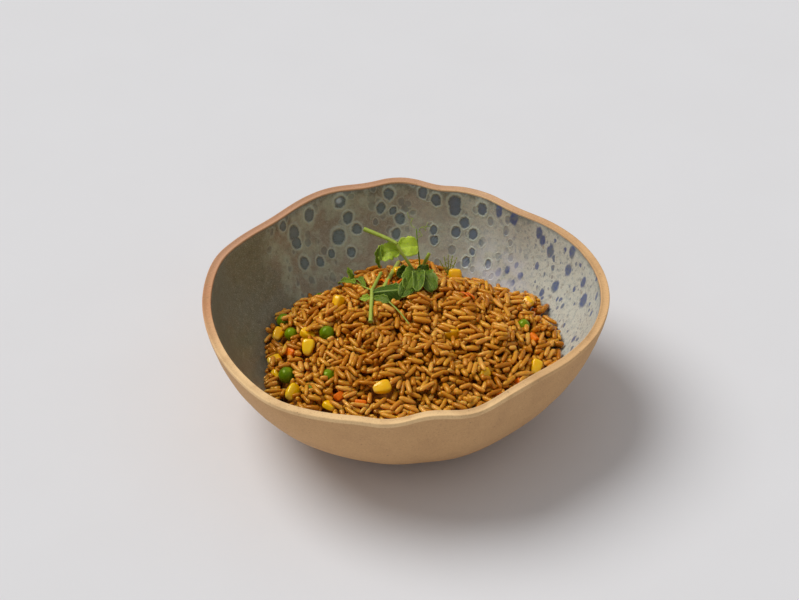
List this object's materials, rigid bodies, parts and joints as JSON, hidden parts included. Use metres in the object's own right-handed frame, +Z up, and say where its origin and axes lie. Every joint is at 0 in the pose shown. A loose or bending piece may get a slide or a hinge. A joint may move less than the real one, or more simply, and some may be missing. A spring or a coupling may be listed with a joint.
{
  "type": "vegetable fried rice bowl",
  "caption": "Golden-brown fried rice with peas, sweetcorn and carrot, heaped in an uneven stoneware bowl with a speckled glazed inside and topped with pea shoots.",
  "frame": {"origin": "on the table, under the middle of the bowl's plan", "axes": "+Z up; +X to the right and +Y away from the diner, the garnish standing towards +Y"},
  "size_m": [0.2046, 0.2, 0.0667],
  "materials": {
    "stoneware": "bare sandy clay outside and on the lip, glossy reactive glaze inside",
    "fried_rice": "slightly oily cooked rice",
    "pea": "smooth, moist",
    "sweetcorn": "smooth, moist",
    "pea_shoot": "soft leaf"
  },
  "bodies": {
    "root": {"bowl": "stoneware", "rice": "fried_rice", "pea_01": "pea", "pea_02": "pea", "pea_03": "pea", "pea_04": "pea", "pea_05": "pea", "pea_06": "pea", "pea_07": "pea", "pea_08": "pea", "pea_09": "pea", "pea_10": "pea", "corn_01": "sweetcorn", "corn_02": "sweetcorn", "corn_03": "sweetcorn", "corn_04": "sweetcorn", "corn_05": "sweetcorn", "corn_06": "sweetcorn", "corn_07": "sweetcorn", "corn_08": "sweetcorn", "corn_09": "sweetcorn", "corn_10": "sweetcorn", "corn_11": "sweetcorn", "corn_12": "sweetcorn", "corn_13": "sweetcorn", "corn_14": "sweetcorn", "corn_15": "sweetcorn", "corn_16": "sweetcorn", "corn_17": "sweetcorn", "shoot_standing": "pea_shoot", "shoot_lying": "pea_shoot", "shoot_tip": "pea_shoot"}
  },
  "joints": []
}
